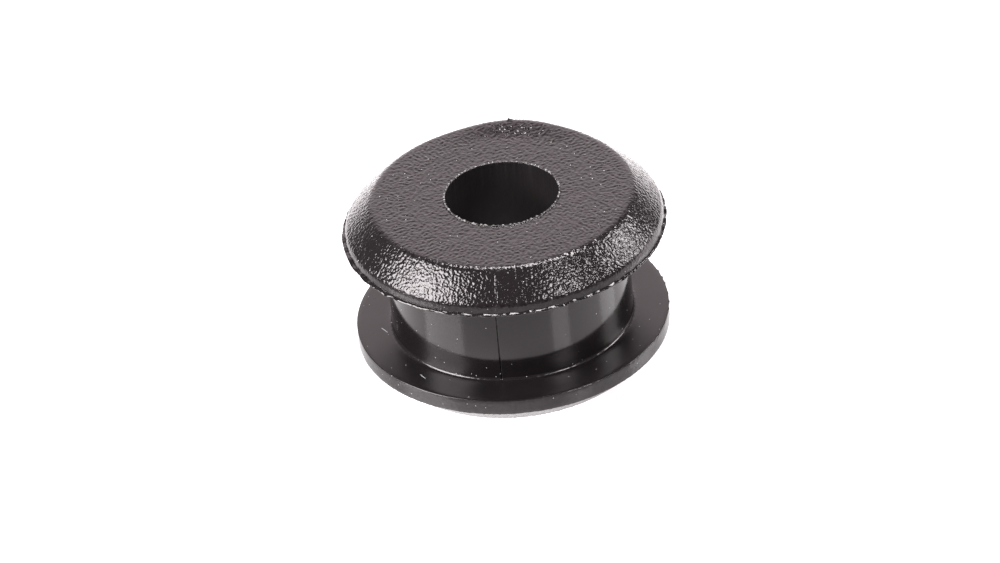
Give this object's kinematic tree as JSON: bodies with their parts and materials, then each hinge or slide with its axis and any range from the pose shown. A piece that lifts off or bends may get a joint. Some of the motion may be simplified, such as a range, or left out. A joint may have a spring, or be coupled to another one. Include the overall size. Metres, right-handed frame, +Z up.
{
  "type": "rubber bushing",
  "caption": "Moulded rubber bushing with a plain bore, a panel groove and bevelled flanges; lines a hole and cushions what passes through it.",
  "frame": {"origin": "centre of the bottom face, on the bore's axis", "axes": "+Z up along the bore, from the lower flange to the upper flange; -Y faces the front seam of the mould"},
  "size_m": [0.0142, 0.0142, 0.008],
  "materials": {
    "black_rubber": "black moulded rubber: fine spark-eroded grain on the faces and bevels, smooth and glossy in the groove and on the rims"
  },
  "bodies": {
    "root": {"bushing": "black_rubber"}
  },
  "joints": []
}
